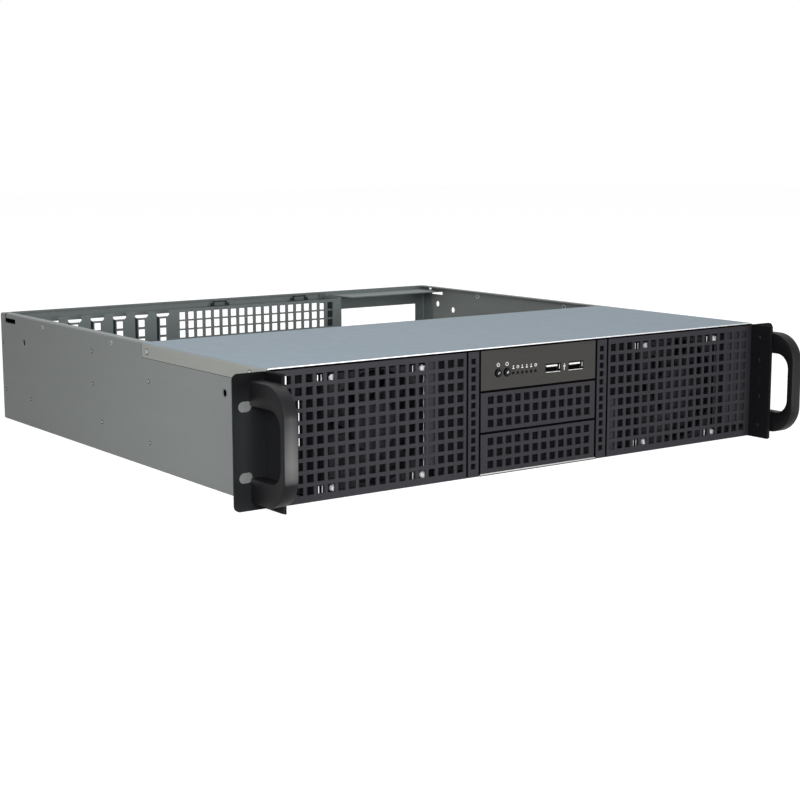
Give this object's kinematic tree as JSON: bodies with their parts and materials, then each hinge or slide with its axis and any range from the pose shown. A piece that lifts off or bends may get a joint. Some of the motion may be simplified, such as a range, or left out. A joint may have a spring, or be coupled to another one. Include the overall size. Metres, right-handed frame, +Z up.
{
  "type": "rackmount server case",
  "caption": "Empty two-unit rackmount server case, lid off: galvanised tray, black mesh front with bow handles, fans, centre bays with controls, set-in rear wall.",
  "frame": {"origin": "middle of the whole footprint, handles included, on the plane of the underside", "axes": "+X to the right seen from the front, +Y from the front to the rear, +Z up"},
  "size_m": [0.4826, 0.4616, 0.088],
  "materials": {
    "galvanised_steel": "galvanised sheet, satin",
    "black_steel": "fine matt powder coat",
    "handle_black": "satin powder coat",
    "fan_plastic": "moulded",
    "button_plastic": "smooth",
    "switch_plastic": "moulded",
    "board_green": "lacquered board",
    "clear_plastic": "clear moulding",
    "socket_metal": "nickel plated",
    "brass": "turned"
  },
  "bodies": {
    "chassis": {"base_tray": "galvanised_steel", "board_standoffs": "brass", "button_switches": "switch_plastic", "centre_frame": "black_steel", "control_board": "board_green", "control_faceplate": "black_steel", "drive_cage": "galvanised_steel", "front_cover": "galvanised_steel", "left_ear_bracket": "black_steel", "left_fan_bracket": "black_steel", "left_fan_frame": "fan_plastic", "left_handle": "handle_black", "left_mesh_panel": "black_steel", "left_usb_port": "socket_metal", "light_guide": "clear_plastic", "lower_bay_cover": "black_steel", "rear_panel": "galvanised_steel", "rear_rail": "galvanised_steel", "right_ear_bracket": "black_steel", "right_fan_bracket": "black_steel", "right_fan_frame": "fan_plastic", "right_handle": "handle_black", "right_mesh_panel": "black_steel", "right_usb_port": "socket_metal", "upper_bay_cover": "black_steel", "usb_tongues": "switch_plastic"},
    "left_fan_rotor": {"left_fan_rotor": "fan_plastic"},
    "right_fan_rotor": {"right_fan_rotor": "fan_plastic"},
    "power_button": {"power_button": "button_plastic"},
    "reset_button": {"reset_button": "button_plastic"}
  },
  "joints": [
    {"name": "left_fan_spin", "type": "hinge", "parent": "chassis", "child": "left_fan_rotor", "pos_m": [-0.131, -0.171, 0.0421], "axis": [0, 1, 0], "continuous": true},
    {"name": "right_fan_spin", "type": "hinge", "parent": "chassis", "child": "right_fan_rotor", "pos_m": [0.1441, -0.171, 0.0421], "axis": [0, 1, 0], "continuous": true},
    {"name": "power_button_press", "type": "slide", "parent": "chassis", "child": "power_button", "axis": [0, 1, 0], "range_m": [0, 0.0015], "stiffness_N_per_m": 300, "springref_m": -0.001},
    {"name": "reset_button_press", "type": "slide", "parent": "chassis", "child": "reset_button", "axis": [0, 1, 0], "range_m": [0, 0.0015], "stiffness_N_per_m": 300, "springref_m": -0.001}
  ]
}
